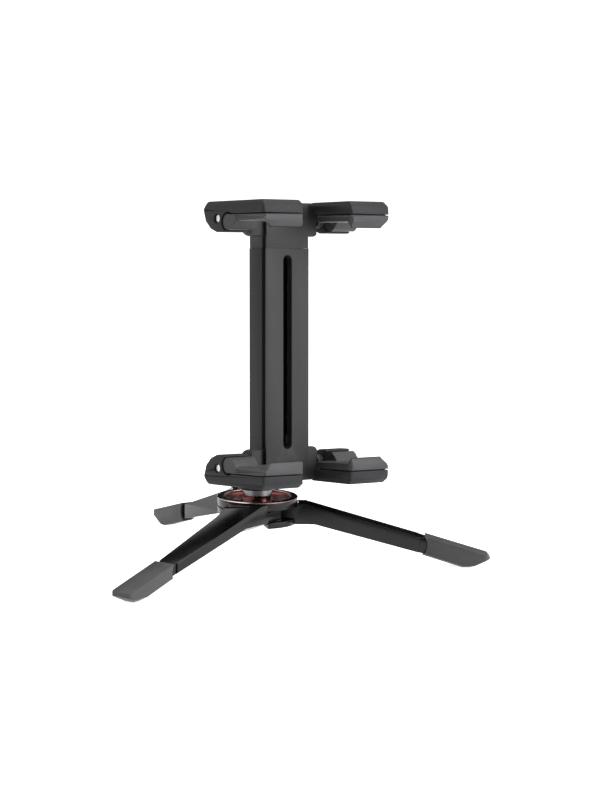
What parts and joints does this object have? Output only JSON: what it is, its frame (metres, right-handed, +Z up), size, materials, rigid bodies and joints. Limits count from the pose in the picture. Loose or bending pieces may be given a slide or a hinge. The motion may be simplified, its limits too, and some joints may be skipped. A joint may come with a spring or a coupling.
{
  "type": "phone tripod",
  "caption": "Folding tabletop phone tripod: a sprung phone clamp with folding arms on a small ball head over short folding legs with rubber boots.",
  "frame": {"origin": "on the table plane, under the hub's axis", "axes": "+Z up; the clamp's front faces -Y; +X is to the right seen from the front"},
  "size_m": [0.0959, 0.0929, 0.0885],
  "materials": {
    "cast_black": "smooth black coat",
    "housing_black": "smooth black coat",
    "rim_bright": "turned and bevelled",
    "dish_red": "red anodised, turned",
    "ball_red": "red anodised, polished",
    "liner_nylon": "natural nylon",
    "steel": "plain",
    "chrome_stud": "polished",
    "boot_rubber": "matt",
    "column_plastic": "fine matt texture",
    "cover_plastic": "fine matt texture",
    "arm_plastic": "fine matt texture",
    "pad_rubber": "matt",
    "insert_brass": "plain",
    "tongue_plastic": "moulded",
    "spring_steel": "plain",
    "washer_black": "moulded"
  },
  "bodies": {
    "base": {"hub_housing": "housing_black", "rim_ring": "rim_bright", "retaining_dish": "dish_red", "seat_spring_washer": "spring_steel", "hub_bottom_cap": "housing_black", "housing_screws": "steel", "leg_fixed": "cast_black", "leg_pivot_pins": "steel", "leg_washers_lower": "washer_black", "leg_washers_upper": "washer_black", "foot_boot_fixed": "boot_rubber"},
    "left_leg": {"leg_left": "cast_black", "foot_boot_left": "boot_rubber"},
    "rear_leg": {"leg_rear": "cast_black", "foot_boot_rear": "boot_rubber"},
    "socket_liner": {"ball_seat": "liner_nylon"},
    "ball": {"ball": "ball_red", "ball_stud": "chrome_stud"},
    "column": {"rail_body": "column_plastic", "rail_cover": "cover_plastic", "cover_screws": "steel", "threaded_insert": "insert_brass", "return_springs": "spring_steel", "arm_pins_lower": "steel", "arm_washers_lower": "washer_black"},
    "upper_jaw": {"slider_head": "cover_plastic", "slider_tongue": "tongue_plastic", "slider_screws": "steel", "arm_pins_upper": "steel", "arm_washers_upper": "washer_black"},
    "upper_left_arm": {"arm_upper_left": "arm_plastic", "pad_upper_left": "pad_rubber"},
    "upper_right_arm": {"arm_upper_right": "arm_plastic", "pad_upper_right": "pad_rubber"},
    "lower_left_arm": {"arm_lower_left": "arm_plastic", "pad_lower_left": "pad_rubber"},
    "lower_right_arm": {"arm_lower_right": "arm_plastic", "pad_lower_right": "pad_rubber"}
  },
  "joints": [
    {"name": "left_leg_swing", "type": "hinge", "parent": "base", "child": "left_leg", "pos_m": [0.00023, -0.0065, 0.01265], "axis": [0, 0, 1], "range_deg": [0, 125.9]},
    {"name": "rear_leg_swing", "type": "hinge", "parent": "base", "child": "rear_leg", "pos_m": [0.00649, 0.00052, 0.01265], "axis": [0, 0, -1], "range_deg": [-1.7, 124.2]},
    {"name": "ball_pan", "type": "hinge", "parent": "base", "child": "socket_liner", "pos_m": [0, 0, 0.014], "axis": [0, 0, 1], "continuous": true},
    {"name": "ball_tilt", "type": "hinge", "parent": "socket_liner", "child": "ball", "pos_m": [0, 0, 0.014], "axis": [-0.8251, 0.565, 0], "range_deg": [-24.3, 11.7]},
    {"name": "ball_spin", "type": "hinge", "parent": "ball", "child": "column", "pos_m": [0, 0, 0.014], "axis": [0.062, 0.0905, 0.994], "continuous": true},
    {"name": "jaw_slide", "type": "slide", "parent": "column", "child": "upper_jaw", "axis": [0.062, 0.0905, 0.994], "range_m": [0, 0.035], "stiffness_N_per_m": 110, "springref_m": -0.03},
    {"name": "upper_left_arm_fold", "type": "hinge", "parent": "upper_jaw", "child": "upper_left_arm", "pos_m": [-0.01127, -0.00256, 0.08272], "axis": [0.9981, -0.0028, -0.062], "range_deg": [0, 90]},
    {"name": "upper_right_arm_fold", "type": "hinge", "parent": "upper_jaw", "child": "upper_right_arm", "pos_m": [0.01967, -0.00265, 0.08079], "axis": [0.9981, -0.0028, -0.062], "range_deg": [0, 90]},
    {"name": "lower_left_arm_fold", "type": "hinge", "parent": "column", "child": "lower_left_arm", "pos_m": [-0.01483, -0.00776, 0.02566], "axis": [-0.9981, 0.0028, 0.062], "range_deg": [0, 90]},
    {"name": "lower_right_arm_fold", "type": "hinge", "parent": "column", "child": "lower_right_arm", "pos_m": [0.01611, -0.00784, 0.02374], "axis": [-0.9981, 0.0028, 0.062], "range_deg": [0, 90]}
  ]
}
